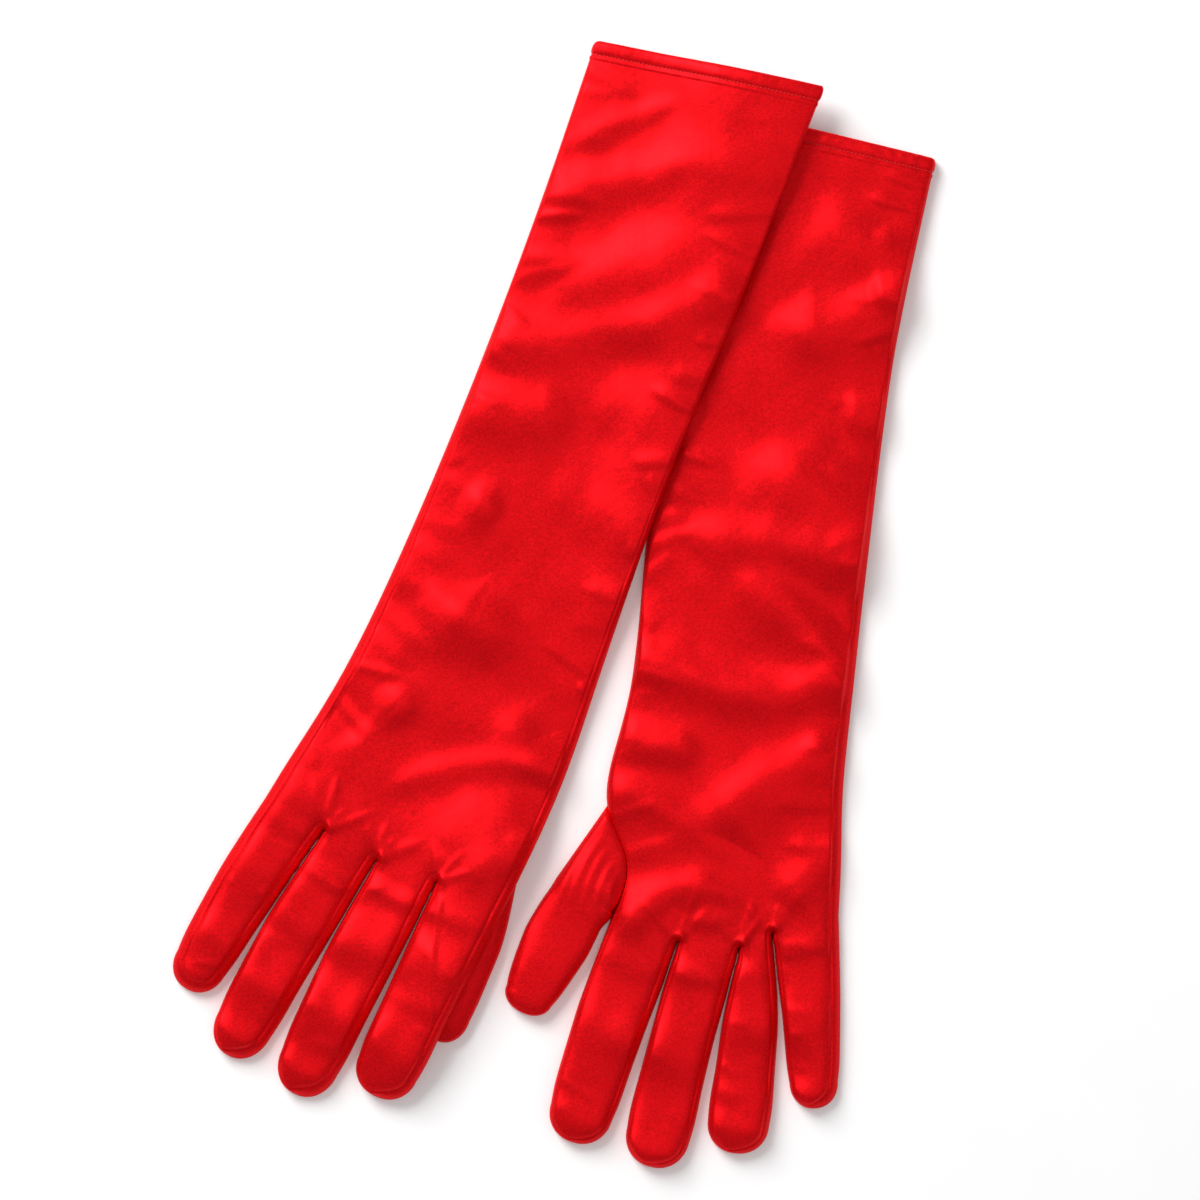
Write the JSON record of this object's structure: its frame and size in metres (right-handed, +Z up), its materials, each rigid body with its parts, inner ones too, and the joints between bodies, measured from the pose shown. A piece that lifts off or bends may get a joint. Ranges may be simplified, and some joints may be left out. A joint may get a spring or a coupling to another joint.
{
  "type": "pair of opera gloves",
  "caption": "Pair of long satin opera gloves laid flat with backs up, one partly over the other, with fingers that fold at the knuckles.",
  "frame": {"origin": "under the middle of the pair, on the surface the gloves lie on", "axes": "+Z up from that surface, +Y towards the cuffs, +X towards the left-hand glove"},
  "size_m": [0.3424, 0.5072, 0.0241],
  "materials": {
    "satin": "satin",
    "elastic": "matte",
    "thread": "satin"
  },
  "bodies": {
    "left_glove": {"left_back_panel": "satin", "left_hem_casing": "satin", "left_hem_elastic": "elastic", "left_hem_stitching": "thread", "left_inner_side": "satin", "left_outer_side": "satin", "left_palm_panel": "satin", "left_thumb_root_back": "satin", "left_thumb_root_palm": "satin"},
    "right_glove": {"right_back_panel": "satin", "right_hem_casing": "satin", "right_hem_elastic": "elastic", "right_hem_stitching": "thread", "right_inner_side": "satin", "right_outer_side": "satin", "right_palm_panel": "satin", "right_thumb_back": "satin", "right_thumb_palm": "satin"},
    "right_little": {"right_little_back": "satin", "right_little_fourchette_to_ring": "satin", "right_little_palm": "satin"},
    "right_ring": {"right_ring_back": "satin", "right_ring_fourchette_to_little": "satin", "right_ring_fourchette_to_middle": "satin", "right_ring_palm": "satin"},
    "right_middle": {"right_middle_back": "satin", "right_middle_fourchette_to_index": "satin", "right_middle_fourchette_to_ring": "satin", "right_middle_palm": "satin"},
    "right_index": {"right_index_back": "satin", "right_index_fourchette_to_middle": "satin", "right_index_palm": "satin"},
    "left_index": {"left_index_back": "satin", "left_index_fourchette_to_middle": "satin", "left_index_palm": "satin"},
    "left_middle": {"left_middle_back": "satin", "left_middle_fourchette_to_index": "satin", "left_middle_fourchette_to_ring": "satin", "left_middle_palm": "satin"},
    "left_ring": {"left_ring_back": "satin", "left_ring_fourchette_to_little": "satin", "left_ring_fourchette_to_middle": "satin", "left_ring_palm": "satin"},
    "left_little": {"left_little_back": "satin", "left_little_fourchette_to_ring": "satin", "left_little_palm": "satin"},
    "left_thumb": {"left_thumb_back": "satin", "left_thumb_palm": "satin"}
  },
  "joints": [
    {"name": "right_glove_lift", "type": "slide", "parent": "left_glove", "child": "right_glove", "axis": [0, 0, 1], "range_m": [0, 0.12]},
    {"name": "right_little_fold", "type": "hinge", "parent": "right_glove", "child": "right_little", "pos_m": [-0.11682, -0.09347, 0.0104], "axis": [-0.8797, 0.4756, 0], "range_deg": [0, 85]},
    {"name": "right_ring_fold", "type": "hinge", "parent": "right_glove", "child": "right_ring", "pos_m": [-0.0921, -0.10831, 0.0104], "axis": [-0.8797, 0.4756, 0], "range_deg": [0, 85]},
    {"name": "right_middle_fold", "type": "hinge", "parent": "right_glove", "child": "right_middle", "pos_m": [-0.06673, -0.11983, 0.01096], "axis": [-0.8797, 0.4756, 0], "range_deg": [0, 85]},
    {"name": "right_index_fold", "type": "hinge", "parent": "right_glove", "child": "right_index", "pos_m": [-0.03848, -0.13198, 0.01915], "axis": [-0.8797, 0.4756, 0], "range_deg": [0, 85]},
    {"name": "left_index_fold", "type": "hinge", "parent": "left_glove", "child": "left_index", "pos_m": [0.03956, -0.14736, 0.0104], "axis": [-0.989, 0.1478, 0], "range_deg": [0, 85]},
    {"name": "left_middle_fold", "type": "hinge", "parent": "left_glove", "child": "left_middle", "pos_m": [0.06911, -0.1531, 0.0104], "axis": [-0.989, 0.1478, 0], "range_deg": [0, 85]},
    {"name": "left_ring_fold", "type": "hinge", "parent": "left_glove", "child": "left_ring", "pos_m": [0.09053, -0.15112, 0.0104], "axis": [-0.989, 0.1478, 0], "range_deg": [0, 85]},
    {"name": "left_little_fold", "type": "hinge", "parent": "left_glove", "child": "left_little", "pos_m": [0.11297, -0.1436, 0.0104], "axis": [-0.989, 0.1478, 0], "range_deg": [0, 85]},
    {"name": "left_thumb_fold", "type": "hinge", "parent": "left_glove", "child": "left_thumb", "pos_m": [0.01211, -0.13095, 0.0092], "axis": [-0.887, 0.4618, 0], "range_deg": [0, 85]}
  ]
}
